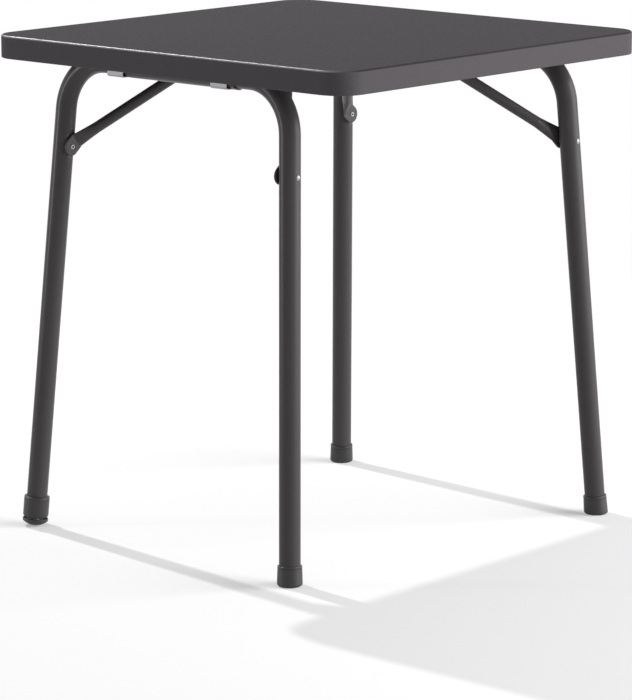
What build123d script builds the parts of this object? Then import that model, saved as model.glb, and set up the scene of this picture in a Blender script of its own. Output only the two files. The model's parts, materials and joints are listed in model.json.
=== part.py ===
from build123d import *
import os
from math import atan, atan2, cos, hypot, pi, radians, sin, sqrt, tan

# Folding card table: a square moulded top on two bent-tube leg frames that fold inward.
# A round brace with flattened ends holds each frame open and hooks under the top.
# Millimetres. X runs along the pivot tubes, Z is up, the floor is at zero.
# Side -1 is the front frame and side +1 the rear one, hand -1 is left and hand +1 right.

# Table top
top_width = 665
table_height = 720
rim_depth = 33
rim_wall = 6
panel_thickness = 11
corner_radius = 41
top_edge_round = 3
rim_edge_round = 1.5
rib_depth = 6
rib_width = 4
pad_margin = 3

# Leg frames, each shifted sideways from the middle of the top
frame_shift = 37.5
pivot_inset = 77
pivot_drop = 35
corner_inset = 122.7
foot_lean_width = 45
foot_splay_width = 39.8
leg_radius = 15
leg_wall = 1.4
leg_bend_radius = 75

# Bearings under the top, measured from where the bends of the tube begin
bearing_end_length = 34.6
bearing_inset_length = 11.3
bearing_width = 30
saddle_length = 57
strap_thickness = 1.2
strap_belly_round = 3.2
strap_bend_round = 1.5
strap_corner_round = 4
saddle_corner_round = 2
strap_screw_reach = 22
screw_radius = 2
screw_head_radius = 4
screw_head_height = 2.4
screw_head_round = 0.8
screw_bite = 6
recess_length = 4.4
recess_width = 1
recess_depth = 1.2

# Sleeves that thicken the pivot tube between the bearings and beyond the inner one
sleeve_wall = 2.05
sleeve_end_length = 21

# Rivet joints between legs and braces
rivet_drop = 160.5
rivet_radius = 2.5
rivet_head_radius = 3.7
rivet_head_height = 1.45
rivet_bore_radius = 1.5
rivet_bore_depth = 6
seat_depth = 1.2
seat_above = 19
seat_below = 16
seat_ramp_length = 11
seat_ramp_height = 4.6
seat_bend = 6
washer_radius = 6
washer_thickness = 1

# Braces
bar_inset = 136.9
bar_drop = 39
bar_corner_inset = 127
brace_radius = 8
brace_bend_radius = 35
ear_radius = 13
ear_thickness = 3.2
ear_edge_round = 1
ear_neck = 12
ear_root = 1.2
brace_blend_length = 36
blend_start_share = 0.96

# Catches for the brace crossbars
catch_clearance = 0.3
catch_wall = 6
catch_width = 32
catch_plate_length = 68
catch_plate_width = 30
catch_plate_thickness = 5
catch_plate_round = 4
catch_tip_round = 1.5
catch_mouth_angle = 42
catch_flare_angle = 4
catch_screw_reach = 26

# Foot caps: plain ones taper upward, the one above the levelling foot is wider and straight
cap_top_radius = 17.2
cap_foot_radius = 18.1
cap_height = 28.2
cap_floor = 4
cap_edge_round = 4
cap_lip_height = 3.2
cap_lip_round = 0.8
cap_groove_height = 0.7
cap_groove_depth = 0.45
levelling_cap_radius = 18.6
levelling_cap_height = 32.6
levelling_cap_round = 2.4

# Levelling foot
disc_radius = 18.8
disc_curve_radius = 27
disc_height = 11.2
disc_rim_wall = 1.4
disc_floor = 8.2
disc_rim_round = 0.5
flute_count = 16
flute_radius = 1.2
flute_depth = 0.6
collar_radius = 7
collar_height = 3.2
stem_radius = 4
stem_length = 20
stem_root = 4
stem_tip_chamfer = 0.6
insert_radius = 6
insert_length = 14
spigot_length = 17
stem_room_radius = 4.6

# Fits
running_gap = 0.05
spigot_gap = 0.3
overrun_length = 12

# Values worked out from those above
rim_bottom = table_height - rim_depth
panel_bottom = table_height - panel_thickness
rib_bottom = panel_bottom - rib_depth
screw_tip = panel_bottom + screw_bite
pivot_z = table_height - pivot_drop
rivet_z = table_height - rivet_drop
bar_z = table_height - bar_drop
pivot_y = top_width / 2 - pivot_inset
foot_y = pivot_y + foot_lean_width
bar_y = pivot_y - bar_inset
corner_half = top_width / 2 - corner_inset
foot_half = corner_half + foot_splay_width
bar_corner_half = corner_half - bar_corner_inset
lean = atan2(foot_lean_width, pivot_z)
leg_run = hypot(foot_lean_width, pivot_z)
splay = atan2(foot_splay_width, leg_run)
straight_half = corner_half - leg_bend_radius * tan((pi / 2 - splay) / 2)
outer_bearing_half = straight_half - bearing_end_length
inner_bearing_half = outer_bearing_half - bearing_inset_length
sleeve_half = straight_half - sleeve_end_length
rivet_share = (pivot_z - rivet_z) / pivot_z
rivet_y = pivot_y + foot_lean_width * rivet_share
rivet_leg_half = corner_half + foot_splay_width * rivet_share
rivet_run = leg_run * rivet_share
seat_half = rivet_leg_half - leg_radius + seat_depth
ear_outer_half = seat_half - washer_thickness - running_gap
ear_half = ear_outer_half - ear_thickness / 2
ear_inner_half = ear_outer_half - ear_thickness
rivet_inner_half = ear_inner_half - running_gap
rivet_outer_half = rivet_leg_half + leg_radius + rivet_head_radius * tan(splay)
brace_reach = hypot(rivet_y - bar_y, bar_z - rivet_z)
brace_rise = atan2(bar_z - rivet_z, rivet_y - bar_y)
leg_tilt = atan(hypot(foot_splay_width, foot_lean_width) / pivot_z)
disc_lift = disc_curve_radius / cos(leg_tilt) - disc_curve_radius
levelling_lift = disc_lift + disc_floor + collar_height
sides = (-1, 1)
hands = (-1, 1)


def bearing_reach(side, hand):
    # the bearing nearer the corner of the top is the outer one
    return outer_bearing_half if side == hand else inner_bearing_half


def bearing_x(side, hand):
    return side * frame_shift + hand * bearing_reach(side, hand)


def leg_up(side, hand):
    rise = Vector(-hand * foot_splay_width, -side * foot_lean_width, pivot_z)
    return rise.normalized()


def leg_point(side, hand, lift):
    # a point on the axis of a leg, lift above the floor along it
    foot = Vector(side * frame_shift + hand * foot_half, side * foot_y, 0)
    return foot + leg_up(side, hand) * lift


def leg_plane(side, hand, lift):
    # square across the leg, its normal up the leg
    up = leg_up(side, hand)
    return Plane(leg_point(side, hand, lift), x_dir=Vector(0, 1, 0).cross(up), z_dir=up)


def leg_turning_plane(side, hand, lift):
    # holds the axis of the leg as its Y direction, for turned profiles
    up = leg_up(side, hand)
    level = Vector(0, 1, 0).cross(up).normalized()
    return Plane(leg_point(side, hand, lift), x_dir=level, z_dir=level.cross(up))


def leg_axis(side, hand):
    return Axis(leg_point(side, hand, 0), leg_up(side, hand))


def frame_plane(side):
    # plane of a leg frame, Y down the legs from the middle of the pivot tube
    down = Vector(0, side * sin(lean), -cos(lean))
    middle = Vector(side * frame_shift, side * pivot_y, pivot_z)
    return Plane(middle, x_dir=(1, 0, 0), z_dir=Vector(1, 0, 0).cross(down))


def brace_point(side, across, along):
    # a point in the plane of a brace, along from the rivets towards the crossbar
    return Vector(
        side * frame_shift + across,
        side * (rivet_y - along * cos(brace_rise)),
        rivet_z + along * sin(brace_rise),
    )


def brace_plane(side):
    along = Vector(0, -side * cos(brace_rise), sin(brace_rise))
    return Plane(brace_point(side, 0, 0), x_dir=(1, 0, 0), z_dir=Vector(1, 0, 0).cross(along))


# Table top: rim and panel in one moulding, with ribs and screw pads underneath.
# Pilot holes take the bearing screws and the catch screws.
strap_screw_places = [
    (bearing_x(side, hand), side * pivot_y + way * strap_screw_reach)
    for side in sides
    for hand in hands
    for way in (-1, 1)
]
catch_screw_places = [
    (side * frame_shift + way * catch_screw_reach, side * bar_y)
    for side in sides
    for way in (-1, 1)
]
inner_width = top_width - 2 * rim_wall

with BuildPart() as table_top:
    with BuildSketch(Plane.XY.offset(rim_bottom)):
        RectangleRounded(top_width, top_width, corner_radius)
    extrude(amount=rim_depth)
    with BuildSketch(Plane.XY.offset(rim_bottom)):
        RectangleRounded(inner_width, inner_width, corner_radius - rim_wall)
    extrude(amount=rim_depth - panel_thickness, mode=Mode.SUBTRACT)
    fillet(table_top.faces().sort_by(Axis.Z)[-1].edges(), top_edge_round)
    fillet(table_top.faces().sort_by(Axis.Z)[0].edges(), rim_edge_round)
    with BuildSketch(Plane.XY.offset(rib_bottom)):
        with Locations((0, -bar_y), (0, 0), (0, bar_y)):
            Rectangle(inner_width, rib_width)
        for side in sides:
            for hand in hands:
                with Locations((bearing_x(side, hand), 0)):
                    Rectangle(rib_width, inner_width)
                with Locations((bearing_x(side, hand), side * pivot_y)):
                    Rectangle(bearing_width + 2 * pad_margin, saddle_length + 2 * pad_margin)
            with Locations((side * frame_shift, side * bar_y)):
                Rectangle(catch_plate_length + 2 * pad_margin, catch_plate_width + 2 * pad_margin)
    extrude(amount=rib_depth)
    with BuildSketch(Plane.XY.offset(rib_bottom)):
        with Locations(*strap_screw_places, *catch_screw_places):
            Circle(screw_radius + running_gap)
    extrude(amount=rib_depth + screw_bite + running_gap, mode=Mode.SUBTRACT)


# Bearings: a grooved saddle block above each end of a pivot tube and a bent strap below it.
def make_saddle(side, hand):
    x = bearing_x(side, hand)
    with BuildPart() as saddle:
        with BuildSketch(Plane.XY.offset(pivot_z)):
            with Locations((x, side * pivot_y)):
                RectangleRounded(bearing_width, saddle_length, saddle_corner_round)
        extrude(amount=rib_bottom - pivot_z)
        with BuildSketch(Plane.YZ.offset(x)):
            with Locations((side * pivot_y, pivot_z)):
                Circle(leg_radius + running_gap)
        extrude(amount=bearing_width, both=True, mode=Mode.SUBTRACT)
        with BuildSketch(Plane.XY.offset(pivot_z)):
            with Locations(*[(x, side * pivot_y + way * strap_screw_reach) for way in (-1, 1)]):
                Circle(screw_radius + running_gap)
        extrude(amount=rib_bottom - pivot_z, mode=Mode.SUBTRACT)
    return saddle.part


def make_strap(side, hand):
    # flat-fronted hanger: two flanges, upright walls and a belly with rounded corners
    x = bearing_x(side, hand)
    inner = leg_radius + running_gap
    outer = inner + strap_thickness
    with BuildPart() as strap:
        with BuildSketch(Plane.YZ.offset(x)):
            with Locations((side * pivot_y, pivot_z)):
                Rectangle(2 * outer, outer, align=(Align.CENTER, Align.MAX))
                Rectangle(saddle_length, strap_thickness, align=(Align.CENTER, Align.MAX))
                Rectangle(2 * inner, inner, align=(Align.CENTER, Align.MAX), mode=Mode.SUBTRACT)
        extrude(amount=bearing_width / 2, both=True)
        fillet(strap.edges().filter_by(Axis.Z).group_by(SortBy.LENGTH)[0], strap_corner_round)
        levels = strap.edges().filter_by(Axis.X).group_by(Axis.Z)
        fillet(levels[0], strap_belly_round)
        fillet(levels[1], strap_belly_round - strap_thickness)
        crease = (x, side * pivot_y, pivot_z - strap_thickness)
        fillet(levels[2].sort_by_distance(crease)[:2], strap_bend_round)
        with BuildSketch(Plane.XY.offset(pivot_z)):
            with Locations(*[(x, side * pivot_y + way * strap_screw_reach) for way in (-1, 1)]):
                Circle(screw_radius + running_gap)
        extrude(amount=-strap_thickness, mode=Mode.SUBTRACT)
    return strap.part


# Sleeves fixed on a pivot tube: a long one between the straps, a short one beyond the inner strap
def make_sleeves(side):
    inner = leg_radius + running_gap
    edge = bearing_width / 2 + running_gap
    start = side * (inner_bearing_half + edge)
    spans = [
        (-side * (inner_bearing_half - edge), side * (outer_bearing_half - edge)),
        (-start, -side * sleeve_half),
    ]
    with BuildPart() as sleeves:
        for begin, end in spans:
            with BuildSketch(Plane.YZ.offset(side * frame_shift + begin)):
                with Locations((side * pivot_y, pivot_z)):
                    Circle(inner + sleeve_wall)
                    Circle(inner, mode=Mode.SUBTRACT)
            extrude(amount=end - begin)
    return sleeves.part


# Pan-head screws with a cross recess, their heads against the given height
def make_screws(places, head_top):
    head_bottom = head_top - screw_head_height
    with BuildPart() as screws:
        with BuildSketch(Plane.XY.offset(head_bottom)):
            with Locations(*places):
                Circle(screw_head_radius)
        extrude(amount=screw_head_height)
        fillet(screws.edges().group_by(Axis.Z)[0], screw_head_round)
        with BuildSketch(Plane.XY.offset(head_top)):
            with Locations(*places):
                Circle(screw_radius)
        extrude(amount=screw_tip - head_top)
        with BuildSketch(Plane.XY.offset(head_bottom)):
            with Locations(*places):
                Rectangle(recess_length, recess_width)
                Rectangle(recess_width, recess_length)
        extrude(amount=recess_depth, mode=Mode.SUBTRACT)
    return screws.part


# Catch: a moulded hook whose mouth faces inward and down, screwed under the top
def make_catch(side):
    socket = brace_radius + catch_clearance
    outer = socket + catch_wall
    mouth_angle = radians(catch_mouth_angle)
    mouth_half = socket + 2 * outer * tan(radians(catch_flare_angle))
    out_y = -side * cos(mouth_angle)
    out_z = -sin(mouth_angle)

    def from_bar(along, across):
        # a point in the section, along the mouth and across it from the crossbar's axis
        return (
            side * bar_y + along * out_y - across * out_z,
            bar_z + along * out_z + across * out_y,
        )

    with BuildPart() as catch:
        with BuildSketch(Plane.YZ.offset(side * frame_shift)):
            with Locations(from_bar(0, 0)):
                Circle(outer)
                Rectangle(2 * outer, rib_bottom - bar_z, align=(Align.CENTER, Align.MIN))
                Circle(socket, mode=Mode.SUBTRACT)
            with BuildLine():
                Polyline(
                    from_bar(0, socket),
                    from_bar(2 * outer, mouth_half),
                    from_bar(2 * outer, -mouth_half),
                    from_bar(0, -socket),
                    close=True,
                )
            make_face(mode=Mode.SUBTRACT)
        extrude(amount=catch_width / 2, both=True)
        mouth = Axis((side * frame_shift, side * bar_y, bar_z), (0, out_y, out_z))
        fillet(catch.edges().filter_by(Axis.X).sort_by(mouth)[-2:], catch_tip_round)
        with BuildSketch(Plane.XY.offset(rib_bottom)):
            with Locations((side * frame_shift, side * bar_y)):
                RectangleRounded(catch_plate_length, catch_plate_width, catch_plate_round)
        extrude(amount=-catch_plate_thickness)
        with BuildSketch(Plane.XY.offset(rib_bottom)):
            with Locations(*catch_screw_places):
                Circle(screw_radius + running_gap)
        extrude(amount=-catch_plate_thickness, mode=Mode.SUBTRACT)
    return catch.part


# Leg tube: one tube bent into two legs and a pivot tube, dented flat inside at the rivets
def leg_end(hand, lift):
    return (hand * (foot_half - lift * sin(splay)), leg_run - lift * cos(splay))


def leg_route(side, left_lift, right_lift):
    with BuildLine(frame_plane(side)) as route:
        FilletPolyline(
            leg_end(-1, left_lift),
            (-corner_half, 0),
            (corner_half, 0),
            leg_end(1, right_lift),
            radius=leg_bend_radius,
        )
    return route.line


def pressed_seats(side, depth):
    # what the press takes from the inner side of both legs, with a ramp at each end
    flat = seat_half + depth
    shallow = flat - seat_ramp_height
    clear = flat - overrun_length
    top = rivet_run - seat_above
    foot = rivet_run + seat_below
    with BuildPart() as seats:
        with BuildSketch(frame_plane(side)):
            for hand in hands:
                with BuildLine():
                    FilletPolyline(
                        (hand * clear, top - seat_ramp_length),
                        (hand * shallow, top - seat_ramp_length),
                        (hand * flat, top),
                        (hand * flat, foot),
                        (hand * shallow, foot + seat_ramp_length),
                        (hand * clear, foot + seat_ramp_length),
                        radius=seat_bend,
                    )
                    Line(
                        (hand * clear, foot + seat_ramp_length),
                        (hand * clear, top - seat_ramp_length),
                    )
                make_face()
        extrude(amount=2 * leg_radius, both=True)
    return seats.part


def leg_rod(route, radius, seats):
    with BuildPart() as rod:
        with BuildSketch(Plane(route @ 0, z_dir=route % 0)):
            Circle(radius)
        sweep(path=route)
        add(seats, mode=Mode.SUBTRACT)
    return rod.part


def make_leg_tube(side, left_lift, right_lift):
    route = leg_route(side, left_lift, right_lift)
    outside = leg_rod(route, leg_radius, pressed_seats(side, 0))
    inside = leg_rod(route, leg_radius - leg_wall, pressed_seats(side, leg_wall))
    with BuildPart() as tube:
        add(outside)
        add(inside, mode=Mode.SUBTRACT)
        for hand in hands:
            with BuildSketch(Plane.YZ.offset(side * frame_shift + hand * rivet_leg_half)):
                with Locations((side * rivet_y, rivet_z)):
                    Circle(rivet_radius + running_gap)
            extrude(amount=leg_radius + overrun_length, both=True, mode=Mode.SUBTRACT)
    return tube.part


# Foot cap: a moulded cup with a lip and a fine groove, its sole flat on the floor
def cap_outline(bottom, height, foot_radius, top_radius):
    # half section of a solid cap from its axis out
    lip = height - cap_lip_height
    return [
        (0, bottom),
        (foot_radius, bottom),
        (top_radius, lip - cap_groove_height),
        (top_radius - cap_groove_depth, lip - cap_groove_height / 2),
        (top_radius, lip),
        (top_radius, height),
        (0, height),
    ]


def make_cap(side, hand):
    outline = cap_outline(-cap_floor, cap_height, cap_foot_radius, cap_top_radius)
    with BuildPart() as cap:
        with BuildSketch(leg_turning_plane(side, hand, 0)):
            with BuildLine():
                Polyline(*outline, close=True)
            make_face()
        revolve(axis=leg_axis(side, hand))
        fillet(cap.edges().group_by(leg_axis(side, hand))[-1], cap_lip_round)
        with BuildSketch(leg_plane(side, hand, cap_floor)):
            Circle(leg_radius + running_gap)
        extrude(amount=cap_height, mode=Mode.SUBTRACT)
        split(bisect_by=Plane.XY, keep=Keep.TOP)
        fillet(cap.faces().sort_by(Axis.Z)[0].edges(), cap_edge_round)
    return cap.part


# Cap above the levelling foot, with a spigot inside the tube around the threaded insert
def make_levelling_cap(side, hand):
    axis = leg_axis(side, hand)
    outline = cap_outline(0, levelling_cap_height, levelling_cap_radius, levelling_cap_radius)
    with BuildPart() as cap:
        with BuildSketch(leg_turning_plane(side, hand, levelling_lift)):
            with BuildLine():
                Polyline(*outline, close=True)
            make_face()
        revolve(axis=axis)
        fillet(cap.edges().group_by(axis)[-1], cap_lip_round)
        fillet(cap.edges().group_by(axis)[0], levelling_cap_round)
        with BuildSketch(leg_plane(side, hand, levelling_lift + cap_floor)):
            Circle(leg_radius + running_gap)
            Circle(leg_radius - leg_wall - spigot_gap, mode=Mode.SUBTRACT)
        extrude(amount=levelling_cap_height, mode=Mode.SUBTRACT)
        with BuildSketch(leg_plane(side, hand, levelling_lift + cap_floor + spigot_length)):
            Circle(leg_radius)
        extrude(amount=levelling_cap_height, mode=Mode.SUBTRACT)
        with BuildSketch(leg_plane(side, hand, levelling_lift)):
            Circle(insert_radius)
        extrude(amount=insert_length, mode=Mode.SUBTRACT)
        with BuildSketch(leg_plane(side, hand, levelling_lift)):
            Circle(stem_room_radius)
        extrude(amount=levelling_cap_height, mode=Mode.SUBTRACT)
    return cap.part


def make_insert(side, hand):
    with BuildPart() as insert:
        with BuildSketch(leg_plane(side, hand, levelling_lift)):
            Circle(insert_radius)
            Circle(stem_radius + running_gap, mode=Mode.SUBTRACT)
        extrude(amount=insert_length)
    return insert.part


# Levelling screw: threaded stem with a collar that meets the cap when wound right in
def make_levelling_screw(side, hand):
    with BuildPart() as screw:
        with BuildSketch(leg_plane(side, hand, levelling_lift - collar_height - stem_root)):
            Circle(stem_radius)
        extrude(amount=stem_root + collar_height + stem_length)
        chamfer(screw.edges().group_by(leg_axis(side, hand))[-1], stem_tip_chamfer)
        with BuildSketch(leg_plane(side, hand, levelling_lift - collar_height)):
            Circle(collar_radius)
        extrude(amount=collar_height)
    return screw.part


# Levelling disc: a shallow dish with a domed sole and small finger flutes around its rim
def make_levelling_disc(side, hand):
    rim_foot = disc_curve_radius - sqrt(disc_curve_radius**2 - disc_radius**2)
    with BuildPart() as disc:
        with BuildSketch(leg_turning_plane(side, hand, disc_lift)):
            with BuildLine():
                RadiusArc((0, 0), (disc_radius, rim_foot), -disc_curve_radius)
                Polyline(
                    (disc_radius, rim_foot),
                    (disc_radius, disc_height),
                    (disc_radius - disc_rim_wall, disc_height),
                    (disc_radius - disc_rim_wall, disc_floor),
                    (0, disc_floor),
                    (0, 0),
                )
            make_face()
        revolve(axis=leg_axis(side, hand))
        fillet(disc.edges().group_by(leg_axis(side, hand))[-1], disc_rim_round)
        with BuildSketch(leg_plane(side, hand, disc_lift)):
            with PolarLocations(disc_radius + flute_radius - flute_depth, flute_count):
                Circle(flute_radius)
        extrude(amount=disc_height, mode=Mode.SUBTRACT)
        with BuildSketch(leg_plane(side, hand, disc_lift + disc_floor - stem_root)):
            Circle(stem_radius)
        extrude(amount=disc_height, mode=Mode.SUBTRACT)
    return disc.part


# Tubular rivet: rolled ring head inside, shank through ear, washer and tube, domed head outside
def make_rivets(side):
    with BuildPart() as rivets:
        for hand in hands:
            centre = Vector(side * frame_shift, side * rivet_y, rivet_z)
            plane = Plane(centre, x_dir=(hand, 0, 0), z_dir=(0, -hand, 0))
            ring_mid = (rivet_bore_radius + rivet_head_radius) / 2
            ring_low = rivet_inner_half - rivet_head_height
            ring_high = rivet_inner_half - rivet_head_height / 2
            dome_mid = rivet_head_radius / 2
            dome_high = rivet_outer_half + rivet_head_height
            dome_side = dome_high - rivet_head_height / 4
            with BuildSketch(plane):
                with BuildLine():
                    Line((ring_high, rivet_bore_radius), (ring_low + rivet_bore_depth, rivet_bore_radius))
                    Line((ring_low + rivet_bore_depth, rivet_bore_radius), (ring_low + rivet_bore_depth, 0))
                    Line((ring_low + rivet_bore_depth, 0), (dome_high, 0))
                    ThreePointArc((dome_high, 0), (dome_side, dome_mid), (rivet_outer_half, rivet_head_radius))
                    Line((rivet_outer_half, rivet_head_radius), (rivet_outer_half, rivet_radius))
                    Line((rivet_outer_half, rivet_radius), (rivet_inner_half, rivet_radius))
                    Line((rivet_inner_half, rivet_radius), (rivet_inner_half, rivet_head_radius))
                    ThreePointArc(
                        (rivet_inner_half, rivet_head_radius),
                        (ring_low, ring_mid),
                        (ring_high, rivet_bore_radius),
                    )
                make_face()
            revolve(axis=Axis(centre, (1, 0, 0)))
    return rivets.part


def make_washers(side):
    with BuildPart() as washers:
        for hand in hands:
            with BuildSketch(Plane.YZ.offset(side * frame_shift + hand * seat_half)):
                with Locations((side * rivet_y, rivet_z)):
                    Circle(washer_radius)
                    Circle(rivet_radius + running_gap, mode=Mode.SUBTRACT)
            extrude(amount=-hand * washer_thickness)
    return washers.part


# Brace: a round tube bent into a bow, its ends pressed into flat ears for the rivets
def make_brace(side):
    bend_share = brace_blend_length / hypot(ear_half - bar_corner_half, brace_reach - ear_neck)
    start_across = ear_half - (ear_half - bar_corner_half) * bend_share
    start_along = ear_neck + (brace_reach - ear_neck) * bend_share
    plane = brace_plane(side)
    with BuildPart() as brace:
        for hand in hands:
            ear_plane = Plane(
                brace_point(side, hand * ear_inner_half, 0),
                x_dir=plane.y_dir,
                z_dir=(hand, 0, 0),
            )
            with BuildSketch(ear_plane):
                Circle(ear_radius)
                Rectangle(ear_neck + ear_root, 2 * ear_radius, align=(Align.MIN, Align.CENTER))
            extrude(amount=ear_thickness)
        fillet(brace.faces().filter_by(Axis.X).edges(), ear_edge_round)
        with BuildLine(plane) as route:
            FilletPolyline(
                (-start_across, start_along),
                (-bar_corner_half, brace_reach),
                (bar_corner_half, brace_reach),
                (start_across, start_along),
                radius=brace_bend_radius,
            )
        with BuildSketch(Plane(route.line @ 0, z_dir=route.line % 0)):
            Circle(brace_radius)
        sweep(path=route.line)
        for hand in hands:
            neck = brace_point(side, hand * ear_half, ear_neck)
            start = brace_point(side, hand * start_across, start_along)
            with BuildSketch(Plane(neck, x_dir=plane.z_dir, z_dir=start - neck)):
                Ellipse(ear_radius * blend_start_share, ear_thickness / 2)
            with BuildSketch(Plane(start, x_dir=plane.z_dir, z_dir=start - neck)):
                Circle(brace_radius)
            loft()
        for hand in hands:
            with BuildSketch(Plane.YZ.offset(side * frame_shift + hand * ear_half)):
                with Locations((side * rivet_y, rivet_z)):
                    Circle(rivet_radius + running_gap)
            extrude(amount=ear_thickness, both=True, mode=Mode.SUBTRACT)
    return brace.part


# Every piece by its name
pieces = {"table_top": table_top.part}
side_names = {-1: "front", 1: "rear"}
hand_names = {-1: "left", 1: "right"}
for side, side_name in side_names.items():
    for hand, hand_name in hand_names.items():
        pieces[f"{side_name}_{hand_name}_saddle"] = make_saddle(side, hand)
        pieces[f"{side_name}_{hand_name}_strap"] = make_strap(side, hand)
    pieces[f"{side_name}_sleeves"] = make_sleeves(side)
    pieces[f"{side_name}_brace_catch"] = make_catch(side)
    pieces[f"{side_name}_rivets"] = make_rivets(side)
    pieces[f"{side_name}_washers"] = make_washers(side)
    pieces[f"{side_name}_brace"] = make_brace(side)
pieces["strap_screws"] = make_screws(strap_screw_places, pivot_z - strap_thickness)
pieces["catch_screws"] = make_screws(catch_screw_places, rib_bottom - catch_plate_thickness)
pieces["front_leg_tube"] = make_leg_tube(-1, levelling_lift + cap_floor, cap_floor)
pieces["rear_leg_tube"] = make_leg_tube(1, cap_floor, cap_floor)
pieces["front_left_cap"] = make_levelling_cap(-1, -1)
pieces["front_right_cap"] = make_cap(-1, 1)
pieces["rear_left_cap"] = make_cap(1, -1)
pieces["rear_right_cap"] = make_cap(1, 1)
pieces["levelling_insert"] = make_insert(-1, -1)
pieces["levelling_screw"] = make_levelling_screw(-1, -1)
pieces["levelling_disc"] = make_levelling_disc(-1, -1)

os.makedirs("parts", exist_ok=True)
for name, piece in pieces.items():
    piece.label = name
    export_step(piece, f"parts/{name}.step")
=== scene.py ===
import bmesh
import bpy
import json
import math
from mathutils import Matrix, Vector


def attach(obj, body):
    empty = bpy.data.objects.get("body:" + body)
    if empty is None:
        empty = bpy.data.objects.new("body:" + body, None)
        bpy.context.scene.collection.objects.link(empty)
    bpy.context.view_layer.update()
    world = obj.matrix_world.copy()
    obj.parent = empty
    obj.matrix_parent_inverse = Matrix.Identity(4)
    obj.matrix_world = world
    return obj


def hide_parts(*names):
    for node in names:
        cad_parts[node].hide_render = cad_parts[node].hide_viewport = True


# folding card table: moulded top, two bent-tube leg frames, bow braces, one levelling foot

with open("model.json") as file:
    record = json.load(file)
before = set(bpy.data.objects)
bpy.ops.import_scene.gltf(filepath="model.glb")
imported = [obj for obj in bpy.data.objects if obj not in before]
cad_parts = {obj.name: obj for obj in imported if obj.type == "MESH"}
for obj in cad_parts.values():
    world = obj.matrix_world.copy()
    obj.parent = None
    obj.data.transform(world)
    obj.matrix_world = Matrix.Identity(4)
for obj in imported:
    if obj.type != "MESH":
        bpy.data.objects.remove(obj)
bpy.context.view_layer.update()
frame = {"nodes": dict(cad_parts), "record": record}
nodes = frame["nodes"]
print("frame loaded:", len(nodes), "nodes")


def linearTone(red, green, blue):
    # screen values from 0 to 255 as a linear colour
    def linearShare(value):
        share = value / 255
        return share / 12.92 if share <= 0.04045 else ((share + 0.055) / 1.055) ** 2.4
    return (linearShare(red), linearShare(green), linearShare(blue), 1)


def startGroup(name, inputs, outputs):
    group = bpy.data.node_groups.new(name, "ShaderNodeTree")
    for title, kind in inputs:
        group.interface.new_socket(name=title, in_out="INPUT", socket_type=kind)
    for title, kind in outputs:
        group.interface.new_socket(name=title, in_out="OUTPUT", socket_type=kind)
    return group, group.nodes.new("NodeGroupInput"), group.nodes.new("NodeGroupOutput")


def feed(tree, socket, value):
    # a number is set, an output is linked
    if isinstance(value, (int, float)):
        socket.default_value = value
    else:
        tree.links.new(value, socket)


def addNoise(tree, vector, scale, detail, roughness):
    noise = tree.nodes.new("ShaderNodeTexNoise")
    for title, value in (("Vector", vector), ("Scale", scale), ("Detail", detail), ("Roughness", roughness)):
        feed(tree, noise.inputs[title], value)
    return noise.outputs["Fac"]


def addMath(tree, operation, first, second):
    node = tree.nodes.new("ShaderNodeMath")
    node.operation = operation
    for socket, value in zip(node.inputs, (first, second)):
        feed(tree, socket, value)
    return node.outputs[0]


def addStep(tree, value, low, high):
    # smooth step from 0 at low to 1 at high
    step = tree.nodes.new("ShaderNodeMapRange")
    step.interpolation_type = "SMOOTHSTEP"
    for title, given in (("Value", value), ("From Min", low), ("From Max", high)):
        feed(tree, step.inputs[title], given)
    return step.outputs["Result"]


def addBlend(tree, share, first, second):
    node = tree.nodes.new("ShaderNodeMix")
    for title, value in (("Factor", share), ("A", first), ("B", second)):
        feed(tree, node.inputs[title], value)
    return node.outputs["Result"]


def addShade(tree, color, value):
    shade = tree.nodes.new("ShaderNodeHueSaturation")
    tree.links.new(color, shade.inputs["Color"])
    tree.links.new(value, shade.inputs["Value"])
    return shade.outputs["Color"]


grainNoise = {"grainDetail": 3, "grainRoughness": 0.6, "driftDetail": 4, "driftRoughness": 0.55}


def buildGrain(noise):
    # fine grain on a slow drift of tone, for moulded, painted and metal skins
    plain = ["Grain Scale", "Grain Depth", "Drift Scale", "Drift Depth", "Roughness", "Roughness Spread"]
    group, inside, outside = startGroup(
        "surfaceGrain",
        [("Vector", "NodeSocketVector"), ("Tone", "NodeSocketColor")] + [(title, "NodeSocketFloat") for title in plain],
        [("Color", "NodeSocketColor"), ("Roughness", "NodeSocketFloat"), ("Height", "NodeSocketFloat")],
    )

    def addSwing(value, depth):
        # the noise's distance from its middle, times a depth
        return addMath(group, "MULTIPLY", addMath(group, "SUBTRACT", value, 0.5), inside.outputs[depth])

    vector = inside.outputs["Vector"]
    grain = addNoise(group, vector, inside.outputs["Grain Scale"], noise["grainDetail"], noise["grainRoughness"])
    drift = addNoise(group, vector, inside.outputs["Drift Scale"], noise["driftDetail"], noise["driftRoughness"])
    swing = addMath(group, "ADD", addSwing(grain, "Grain Depth"), addSwing(drift, "Drift Depth"))
    color = addShade(group, inside.outputs["Tone"], addMath(group, "ADD", swing, 1))
    rough = addMath(group, "ADD", addSwing(drift, "Roughness Spread"), inside.outputs["Roughness"])
    for title, value in (("Color", color), ("Roughness", rough), ("Height", grain)):
        group.links.new(value, outside.inputs[title])
    return group


surfaceGrain = buildGrain(grainNoise)

# heights of a piece's own normal: where its side turns into a rounded edge, and the edge into the flat on top
edgeTurn = {"sideEnd": 0.12, "edgeStart": 0.3, "edgeEnd": 0.965, "flatStart": 0.995, "leastSideways": 0.0001}


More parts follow.
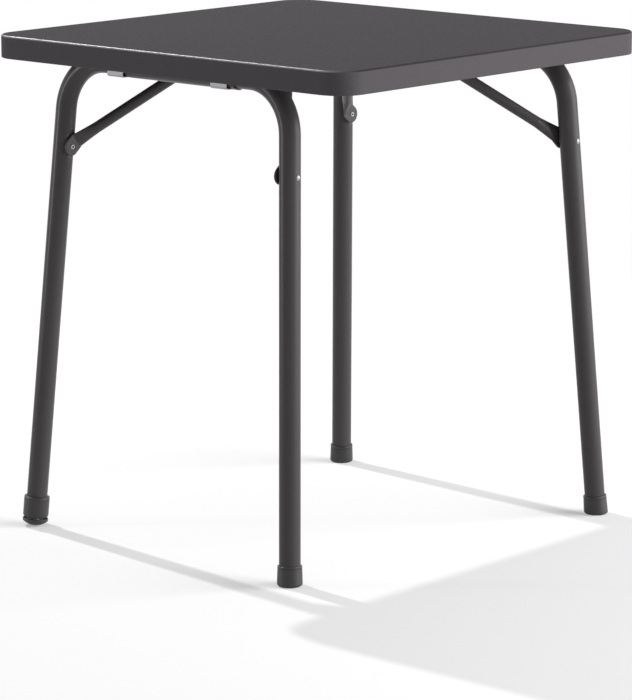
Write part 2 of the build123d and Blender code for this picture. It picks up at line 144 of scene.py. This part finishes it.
def buildEdgeMask(turn):
    # Edge is a rounded upper edge, Run is Edge times how squarely it faces front or back, Upward is the flat on top
    group, inside, outside = startGroup(
        "roundedEdge",
        [("Normal", "NodeSocketVector")],
        [(title, "NodeSocketFloat") for title in ("Edge", "Run", "Upward")],
    )
    split = group.nodes.new("ShaderNodeSeparateXYZ")
    group.links.new(inside.outputs["Normal"], split.inputs["Vector"])
    across = addMath(group, "MULTIPLY", split.outputs["X"], split.outputs["X"])
    along = addMath(group, "MULTIPLY", split.outputs["Y"], split.outputs["Y"])
    sideways = addMath(group, "ADD", addMath(group, "ADD", across, along), turn["leastSideways"])
    rising = addStep(group, split.outputs["Z"], turn["sideEnd"], turn["edgeStart"])
    flat = addStep(group, split.outputs["Z"], turn["edgeEnd"], turn["flatStart"])
    edge = addMath(group, "MULTIPLY", rising, addMath(group, "SUBTRACT", 1, flat))
    run = addMath(group, "MULTIPLY", edge, addMath(group, "DIVIDE", along, sideways))
    for title, value in (("Edge", edge), ("Run", run), ("Upward", flat)):
        group.links.new(value, outside.inputs[title])
    return group


roundedEdge = buildEdgeMask(edgeTurn)

# tones are screen values, noise scales are counts in a metre, bump is in metres
finishes = {
    "mouldedTop": {
        "tone": (80, 77, 80), "grainScale": 210, "grainDepth": 0.8, "driftScale": 4, "driftDepth": 0.12,
        "roughness": 0.8, "roughSpread": 0.1, "metallic": 0, "bump": 0.00012, "specular": 0.02,
    },
    "tubePaint": {
        "tone": (71, 68, 69), "grainScale": 420, "grainDepth": 0.12, "driftScale": 9, "driftDepth": 0.1,
        "roughness": 0.3, "roughSpread": 0.08, "metallic": 0, "bump": 0.00003, "specular": 0.1,
    },
    "plateSteel": {
        "tone": (158, 158, 161), "grainScale": 300, "grainDepth": 0.12, "driftScale": 30, "driftDepth": 0.12,
        "roughness": 0.5, "roughSpread": 0.12, "metallic": 0.3, "bump": 0.00002, "specular": 0.3,
    },
    "zincScrew": {
        "tone": (190, 190, 192), "grainScale": 500, "grainDepth": 0.1, "driftScale": 60, "driftDepth": 0.12,
        "roughness": 0.32, "roughSpread": 0.1, "metallic": 0.9, "bump": 0.00001, "specular": 0.5,
    },
    "brightRivet": {
        "tone": (156, 156, 159), "grainScale": 700, "grainDepth": 0.1, "driftScale": 80, "driftDepth": 0.1,
        "roughness": 0.46, "roughSpread": 0.1, "metallic": 0.5, "bump": 0.00001, "specular": 0.3,
    },
    "paleNylon": {
        "tone": (222, 221, 214), "grainScale": 500, "grainDepth": 0.05, "driftScale": 40, "driftDepth": 0.04,
        "roughness": 0.45, "roughSpread": 0.05, "metallic": 0, "bump": 0.00001, "specular": 0.5,
    },
    "brassInsert": {
        "tone": (196, 160, 84), "grainScale": 600, "grainDepth": 0.1, "driftScale": 60, "driftDepth": 0.1,
        "roughness": 0.3, "roughSpread": 0.1, "metallic": 0.9, "bump": 0.00001, "specular": 0.5,
    },
    "footPlastic": {
        "tone": (55, 53, 54), "grainScale": 700, "grainDepth": 0.16, "driftScale": 25, "driftDepth": 0.08,
        "roughness": 0.42, "roughSpread": 0.1, "metallic": 0, "bump": 0.00003, "specular": 0.3,
    },
    "blackMoulding": {
        "tone": (78, 76, 78), "grainScale": 600, "grainDepth": 0.14, "driftScale": 25, "driftDepth": 0.08,
        "roughness": 0.5, "roughSpread": 0.1, "metallic": 0, "bump": 0.00004, "specular": 0.4,
    },
}


def makeFinish(name, values):
    material = bpy.data.materials.new(name)
    material.use_nodes = True
    tree = material.node_tree
    shader = tree.nodes["Principled BSDF"]
    shader.inputs["Metallic"].default_value = values["metallic"]
    shader.inputs["Specular IOR Level"].default_value = values["specular"]
    coordinates = tree.nodes.new("ShaderNodeTexCoord")
    coordinates.name = "place"
    grain = tree.nodes.new("ShaderNodeGroup")
    grain.name = "grain"
    grain.node_tree = surfaceGrain
    grain.inputs["Tone"].default_value = linearTone(*values["tone"])
    for title, key in (
        ("Grain Scale", "grainScale"), ("Grain Depth", "grainDepth"), ("Drift Scale", "driftScale"),
        ("Drift Depth", "driftDepth"), ("Roughness", "roughness"), ("Roughness Spread", "roughSpread"),
    ):
        grain.inputs[title].default_value = values[key]
    bump = tree.nodes.new("ShaderNodeBump")
    bump.inputs["Distance"].default_value = values["bump"]
    for start, end in (
        (coordinates.outputs["Object"], grain.inputs["Vector"]),
        (grain.outputs["Color"], shader.inputs["Base Color"]),
        (grain.outputs["Roughness"], shader.inputs["Roughness"]),
        (grain.outputs["Height"], bump.inputs["Height"]),
        (bump.outputs["Normal"], shader.inputs["Normal"]),
    ):
        tree.links.new(start, end)
    return material


# gloss is the output of roundedEdge that the coat follows, the shade share darkens the rounded edge's colour as painted
# shade, sideGrain the grain's depth off the flat on top
edgeGlossAndShade = {
    "mouldedTop": {
        "gloss": "Run", "coatWeight": 1, "coatRoughness": 0.42, "coatIor": 2, "paintedEdgeShade": 0.5, "sideGrain": 0.2,
    },
    "footPlastic": {
        "gloss": "Edge", "coatWeight": 0.45, "coatRoughness": 0.34, "coatIor": 1.5, "paintedEdgeShade": 0.2, "sideGrain": 0.16,
    },
}


def glossAndShadeEdges(material, values):
    # a moulded edge gets a smoother coat that takes a line of light from the lamps, and its colour is darkened there as
    # painted shade
    tree = material.node_tree
    shader = tree.nodes["Principled BSDF"]
    grain = tree.nodes["grain"]
    shader.inputs["Coat Roughness"].default_value = values["coatRoughness"]
    shader.inputs["Coat IOR"].default_value = values["coatIor"]
    mask = tree.nodes.new("ShaderNodeGroup")
    mask.node_tree = roundedEdge
    tree.links.new(tree.nodes["place"].outputs["Normal"], mask.inputs["Normal"])
    coat = addMath(tree, "MULTIPLY", mask.outputs[values["gloss"]], values["coatWeight"])
    tree.links.new(coat, shader.inputs["Coat Weight"])
    # painted shade: the base colour is made darker on the rounded upper edges
    shadedValue = addMath(tree, "SUBTRACT", 1, addMath(tree, "MULTIPLY", mask.outputs["Edge"], values["paintedEdgeShade"]))
    tree.links.new(addShade(tree, grain.outputs["Color"], shadedValue), shader.inputs["Base Color"])
    topGrain = grain.inputs["Grain Depth"].default_value
    tree.links.new(addBlend(tree, mask.outputs["Upward"], values["sideGrain"], topGrain), grain.inputs["Grain Depth"])


finishOf = {name: makeFinish(name, values) for name, values in finishes.items()}
for name, values in edgeGlossAndShade.items():
    glossAndShadeEdges(finishOf[name], values)
finishOfSlot = {
    "moulded_top": "mouldedTop",
    "black_moulding": "blackMoulding",
    "painted_tube": "tubePaint",
    "plated_strap": "plateSteel",
    "zinc_screw": "zincScrew",
    "bright_rivet": "brightRivet",
    "pale_nylon": "paleNylon",
    "brass_insert": "brassInsert",
    "foot_plastic": "footPlastic",
}
for entry in frame["record"]["subparts"]:
    piece = nodes[entry["node"]]
    piece.data.materials.clear()
    piece.data.materials.append(finishOf[finishOfSlot[entry["material_slot"]]])
print("finishes placed:", len(finishOf))

# the levelling foot's pieces are turned about its leg, with heights measured along it from the floor
levellingLeg = {
    "sole": (-0.2871, -0.3005, 0),
    "legTop": (-0.2473, -0.2555, 0.685),
    "sharpAngle": 32,
    "ringReach": 0.00002,
    "weldReach": 0.000005,
}


def roundRing(mesh, radius, height, amount, segments):
    # rounds the ring of edges that lies at a radius and a height
    def onRing(vertex):
        apart = (abs(math.hypot(vertex.co.x, vertex.co.y) - radius), abs(vertex.co.z - height))
        return max(apart) < levellingLeg["ringReach"]
    ring = [edge for edge in mesh.edges if all(onRing(vertex) for vertex in edge.verts)]
    bmesh.ops.bevel(
        mesh, geom=ring, offset=amount, offset_type="OFFSET", segments=segments,
        profile=0.5, affect="EDGES", material=-1, clamp_overlap=True,
    )


def turnWire(mesh, points, steps, started=()):
    # turns an outline of radii and heights a full round, after the vertices that it started with
    wire = list(started) + [mesh.verts.new((radius, 0, height)) for radius, height in points]
    first = max(len(started) - 1, 0)
    for pair in zip(wire[first:], wire[first + 1:]):
        mesh.edges.new(pair)
    bmesh.ops.spin(
        mesh, geom=wire + mesh.edges[:], cent=(0, 0, 0), axis=(0, 0, 1), dvec=(0, 0, 0),
        angle=math.tau, steps=steps, use_merge=True, use_duplicate=False,
    )
    bmesh.ops.remove_doubles(mesh, verts=mesh.verts, dist=levellingLeg["weldReach"])


def standOnLeg(mesh, name, finish, body, node):
    bmesh.ops.recalc_face_normals(mesh, faces=mesh.faces)
    for seam in mesh.edges:
        seam.smooth = seam.calc_face_angle(0) < math.radians(levellingLeg["sharpAngle"])
    for face in mesh.faces:
        face.smooth = True
    sole = Vector(levellingLeg["sole"])
    upward = (Vector(levellingLeg["legTop"]) - sole).normalized()
    place = Matrix.Translation(sole) @ upward.to_track_quat("Z", "Y").to_matrix().to_4x4()
    bmesh.ops.transform(mesh, matrix=place, verts=mesh.verts)
    data = bpy.data.meshes.new(name)
    mesh.to_mesh(data)
    mesh.free()
    piece = bpy.data.objects.new(name, data)
    bpy.context.scene.collection.objects.link(piece)
    data.materials.append(finishOf[finish])
    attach(piece, body)
    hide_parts(node)


levellingScrew = {
    "stemStart": 0.0043,
    "stemEnd": 0.0315,
    "stemRadius": 0.004,
    "threadDepth": 0.0007,
    "pitch": 0.00125,
    "flankShares": (0, 0.12, 0.5, 0.62),
    "turnSteps": 28,
    "collarStart": 0.0083,
    "collarEnd": 0.0115,
    "collarRadius": 0.007,
    "collarRound": 0.0004,
    "collarRoundSteps": 2,
}


def spinThread(mesh, values, low, high):
    # a zigzag flank turned once while it climbs one pitch joins up into the whole thread
    crest = values["stemRadius"]
    root = crest - values["threadDepth"]
    pitch = values["pitch"]
    flank = list(zip((root, root, crest, crest), values["flankShares"]))
    points = [
        mesh.verts.new((radius, 0, low + (turn - 1) * pitch + pitch * share))
        for turn in range(int((high - low) / pitch) + 2)
        for radius, share in flank
    ]
    edges = [mesh.edges.new(pair) for pair in zip(points, points[1:])]
    bmesh.ops.spin(
        mesh, geom=points + edges, cent=(0, 0, 0), axis=(0, 0, 1), dvec=(0, 0, pitch / values["turnSteps"]),
        angle=math.tau, steps=values["turnSteps"], use_merge=False, use_duplicate=False,
    )
    bmesh.ops.remove_doubles(mesh, verts=mesh.verts, dist=pitch / 100)
    for height, side in ((low, -1), (high, 1)):
        bmesh.ops.bisect_plane(
            mesh, geom=mesh.verts[:] + mesh.edges[:] + mesh.faces[:], dist=pitch / 1000,
            plane_co=(0, 0, height), plane_no=(0, 0, side), clear_outer=True,
        )
    bmesh.ops.holes_fill(mesh, edges=[edge for edge in mesh.edges if edge.is_boundary])


def makeLevellingScrew(values):
    stem = bmesh.new()
    spinThread(stem, values, values["collarEnd"], values["stemEnd"])
    threadData = bpy.data.meshes.new("threadDraft")
    stem.to_mesh(threadData)
    stem.free()
    mesh = bmesh.new()
    root = values["stemRadius"] - values["threadDepth"]
    wide = values["collarRadius"]
    low, high = values["collarStart"], values["collarEnd"]
    profile = [(0, values["stemStart"]), (root, values["stemStart"]), (root, low), (wide, low), (wide, high), (0, high)]
    turnWire(mesh, profile, values["turnSteps"] * 2)
    for height in (low, high):
        roundRing(mesh, wide, height, values["collarRound"], values["collarRoundSteps"])
    mesh.from_mesh(threadData)
    bpy.data.meshes.remove(threadData)
    standOnLeg(mesh, "threadedScrew", "zincScrew", "levelling_foot", "levelling_screw")


levellingDisc = {
    "lift": 0.000105,
    "soleRadius": 0.027,
    "radius": 0.0187,
    "rimTop": 0.0111,
    "rimWall": 0.0015,
    "floor": 0.0083,
    "holeRadius": 0.004,
    "holeFloor": 0.0043,
    "rimRound": 0.0007,
    "footRound": 0.0012,
    "roundSteps": 3,
    "flutes": 20,
    "fluteDepth": 0.00045,
    "fluteSharpness": 3,
    "turnSteps": 200,
    "arcSteps": 10,
}


def makeLevellingDisc(values):
    mesh = bmesh.new()
    low = mesh.verts.new((0, 0, values["lift"]))
    centre = (0, 0, values["lift"] + values["soleRadius"])
    sweep = math.asin(values["radius"] / values["soleRadius"])
    bmesh.ops.spin(
        mesh, geom=[low], cent=centre, axis=(0, 1, 0), dvec=(0, 0, 0),
        angle=-sweep, steps=values["arcSteps"], use_merge=False, use_duplicate=False,
    )
    dome = sorted(mesh.verts, key=lambda point: point.co.x)
    wide = values["radius"]
    inner = wide - values["rimWall"]
    rimFoot = dome[-1].co.z
    profile = [
        (wide, values["rimTop"]), (inner, values["rimTop"]), (inner, values["floor"]),
        (values["holeRadius"], values["floor"]), (values["holeRadius"], values["holeFloor"]), (0, values["holeFloor"]),
    ]
    turnWire(mesh, profile, values["turnSteps"], dome)
    roundRing(mesh, wide, values["rimTop"], values["rimRound"], values["roundSteps"])
    roundRing(mesh, wide, rimFoot, values["footRound"], values["roundSteps"])
    for point in mesh.verts:
        spread = math.hypot(point.co.x, point.co.y)
        if spread > inner + values["rimWall"] / 3:
            turn = values["flutes"] * math.atan2(point.co.y, point.co.x)
            wave = max(0, math.cos(turn)) ** values["fluteSharpness"]
            point.co.xy *= 1 - values["fluteDepth"] * wave / spread
    standOnLeg(mesh, "flutedDisc", "footPlastic", "levelling_foot", "levelling_disc")


levellingCap = {
    "bottom": 0.0128,
    "top": 0.0441,
    "radius": 0.0186,
    "tubeRadius": 0.01505,
    "floor": 0.0155,
    "boreRadius": 0.006,
    "footRound": 0.004,
    "footRoundSteps": 6,
    "lipHeight": 0.0034,
    "lipRound": 0.001,
    "lipRoundSteps": 3,
    "grooveHeight": 0.0007,
    "grooveDepth": 0.0005,
    "turnSteps": 120,
}


def makeLevellingCap(values):
    mesh = bmesh.new()
    bottom, floor, top = values["bottom"], values["floor"], values["top"]
    wide, tube, bore = values["radius"], values["tubeRadius"], values["boreRadius"]
    waist = wide - values["grooveDepth"]
    lip = top - values["lipHeight"]
    groove = lip - values["grooveHeight"]
    profile = [
        (bore, bottom), (wide, bottom), (wide, groove), (waist, groove), (waist, lip), (wide, lip), (wide, top),
        (tube, top), (tube, floor), (bore, floor), (bore, bottom),
    ]
    turnWire(mesh, profile, values["turnSteps"])
    roundRing(mesh, wide, bottom, values["footRound"], values["footRoundSteps"])
    roundRing(mesh, wide, top, values["lipRound"], values["lipRoundSteps"])
    standOnLeg(mesh, "roundedCap", "footPlastic", "front_leg_frame", "front_left_cap")


makeLevellingScrew(levellingScrew)
makeLevellingDisc(levellingDisc)
makeLevellingCap(levellingCap)
print("levelling foot made")

# floor and light
studio = {
    "floorSize": 30,
    "floorTone": 0.82,
    "seenFloorTone": 0.76,
    "seenFloorGlow": 0.268,
    "fadeStart": 1.3,
    "fadeEnd": 2.6,
    "worldStrength": 0.3,
    "lamps": {
        "keyLamp": {
            "shape": "DISK", "place": (-3.095, 0.262, 3.496), "aimHeight": 0.4, "size": (0.085, 0.085), "power": 96,
        },
        "rightFill": {
            "shape": "SQUARE", "place": (3.6, 2.3, 1.1), "aimHeight": 0.5, "size": (4, 4), "power": 370,
        },
        "leftStrip": {
            "shape": "RECTANGLE", "place": (-3.3, -3.3, 0.55), "aimHeight": 0.4, "size": (0.5, 1), "power": 52,
        },
    },
}


def seenByEye(tree):
    # 1 for what the camera sees straight, mirrored or through glass
    rays = tree.nodes.new("ShaderNodeLightPath")
    mirrored = addMath(tree, "MAXIMUM", rays.outputs["Is Camera Ray"], rays.outputs["Is Glossy Ray"])
    return addMath(tree, "MAXIMUM", mirrored, rays.outputs["Is Transmission Ray"])


def makeFloor(values):
    half = values["floorSize"] / 2
    mesh = bpy.data.meshes.new("floor")
    corners = [(-half, -half, 0), (half, -half, 0), (half, half, 0), (-half, half, 0)]
    mesh.from_pydata(corners, [], [(0, 1, 2, 3)])
    floor = bpy.data.objects.new("floor", mesh)
    bpy.context.scene.collection.objects.link(floor)
    material = bpy.data.materials.new("floorPaper")
    material.use_nodes = True
    tree = material.node_tree
    shader = tree.nodes["Principled BSDF"]
    shader.inputs["Roughness"].default_value = 1
    shader.inputs["Specular IOR Level"].default_value = 0
    seen = seenByEye(tree)
    coordinates = tree.nodes.new("ShaderNodeTexCoord")
    reach = tree.nodes.new("ShaderNodeVectorMath")
    reach.operation = "LENGTH"
    tree.links.new(coordinates.outputs["Object"], reach.inputs[0])
    fade = addStep(tree, reach.outputs["Value"], values["fadeStart"], values["fadeEnd"])
    # the seen floor is part paper, part glow, and all glow far out, so that it runs into the white background
    seenTone = addBlend(tree, fade, values["seenFloorTone"], 0)
    seenGlow = addBlend(tree, fade, values["seenFloorGlow"], 1)
    tone = addBlend(tree, seen, values["floorTone"], seenTone)
    glow = addBlend(tree, seen, 0, seenGlow)
    tree.links.new(tone, shader.inputs["Base Color"])
    shader.inputs["Emission Color"].default_value = (1, 1, 1, 1)
    tree.links.new(glow, shader.inputs["Emission Strength"])
    mesh.materials.append(material)


def makeLamp(name, values):
    light = bpy.data.lights.new(name, "AREA")
    light.shape = values["shape"]
    light.size, light.size_y = values["size"]
    light.energy = values["power"]
    lamp = bpy.data.objects.new(name, light)
    place = Vector(values["place"])
    lamp.location = place
    lamp.rotation_euler = (Vector((0, 0, values["aimHeight"])) - place).to_track_quat("-Z", "Y").to_euler()
    bpy.context.scene.collection.objects.link(lamp)


def makeWorld(values):
    world = bpy.data.worlds.new("studioWorld")
    bpy.context.scene.world = world
    world.use_nodes = True
    tree = world.node_tree
    background = tree.nodes["Background"]
    background.inputs["Color"].default_value = (1, 1, 1, 1)
    strength = addBlend(tree, seenByEye(tree), values["worldStrength"], 1)
    tree.links.new(strength, background.inputs["Strength"])


makeFloor(studio)
for name, values in studio["lamps"].items():
    makeLamp(name, values)
makeWorld(studio)
print("studio ready")

# camera at the photograph's angle: degrees, metres and a focal length in pixels of the picture, 700 high
cameraView = {
    "azimuth": 41.1425,
    "elevation": 11.6926,
    "distance": 5.0676,
    "aimAcross": -0.0026,
    "aimHeight": 0.2545,
    "roll": 0.0972,
    "focalPixels": 3469.02,
    "picturePixels": 700,
    "sensor": 36,
    "clipEnd": 100,
}


def makeCamera(values):
    azimuth = math.radians(values["azimuth"])
    elevation = math.radians(values["elevation"])
    roll = math.radians(values["roll"])
    back = Vector((
        math.sin(azimuth) * math.cos(elevation),
        -math.cos(azimuth) * math.cos(elevation),
        math.sin(elevation),
    ))
    level = Vector((math.cos(azimuth), math.sin(azimuth), 0))
    upright = back.cross(level)
    across = level * math.cos(roll) + upright * math.sin(roll)
    upward = upright * math.cos(roll) - level * math.sin(roll)
    aim = level * values["aimAcross"] + Vector((0, 0, values["aimHeight"]))
    camera = bpy.data.cameras.new("photoCamera")
    camera.sensor_width = values["sensor"]
    camera.lens = values["focalPixels"] / values["picturePixels"] * values["sensor"]
    camera.clip_end = values["clipEnd"]
    cameraObject = bpy.data.objects.new("photoCamera", camera)
    bpy.context.scene.collection.objects.link(cameraObject)
    turned = Matrix((across, upward, back)).transposed().to_4x4()
    cameraObject.matrix_world = Matrix.Translation(aim + back * values["distance"]) @ turned
    bpy.context.scene.camera = cameraObject


makeCamera(cameraView)
bpy.context.scene.view_settings.view_transform = "Standard"
print("camera set")
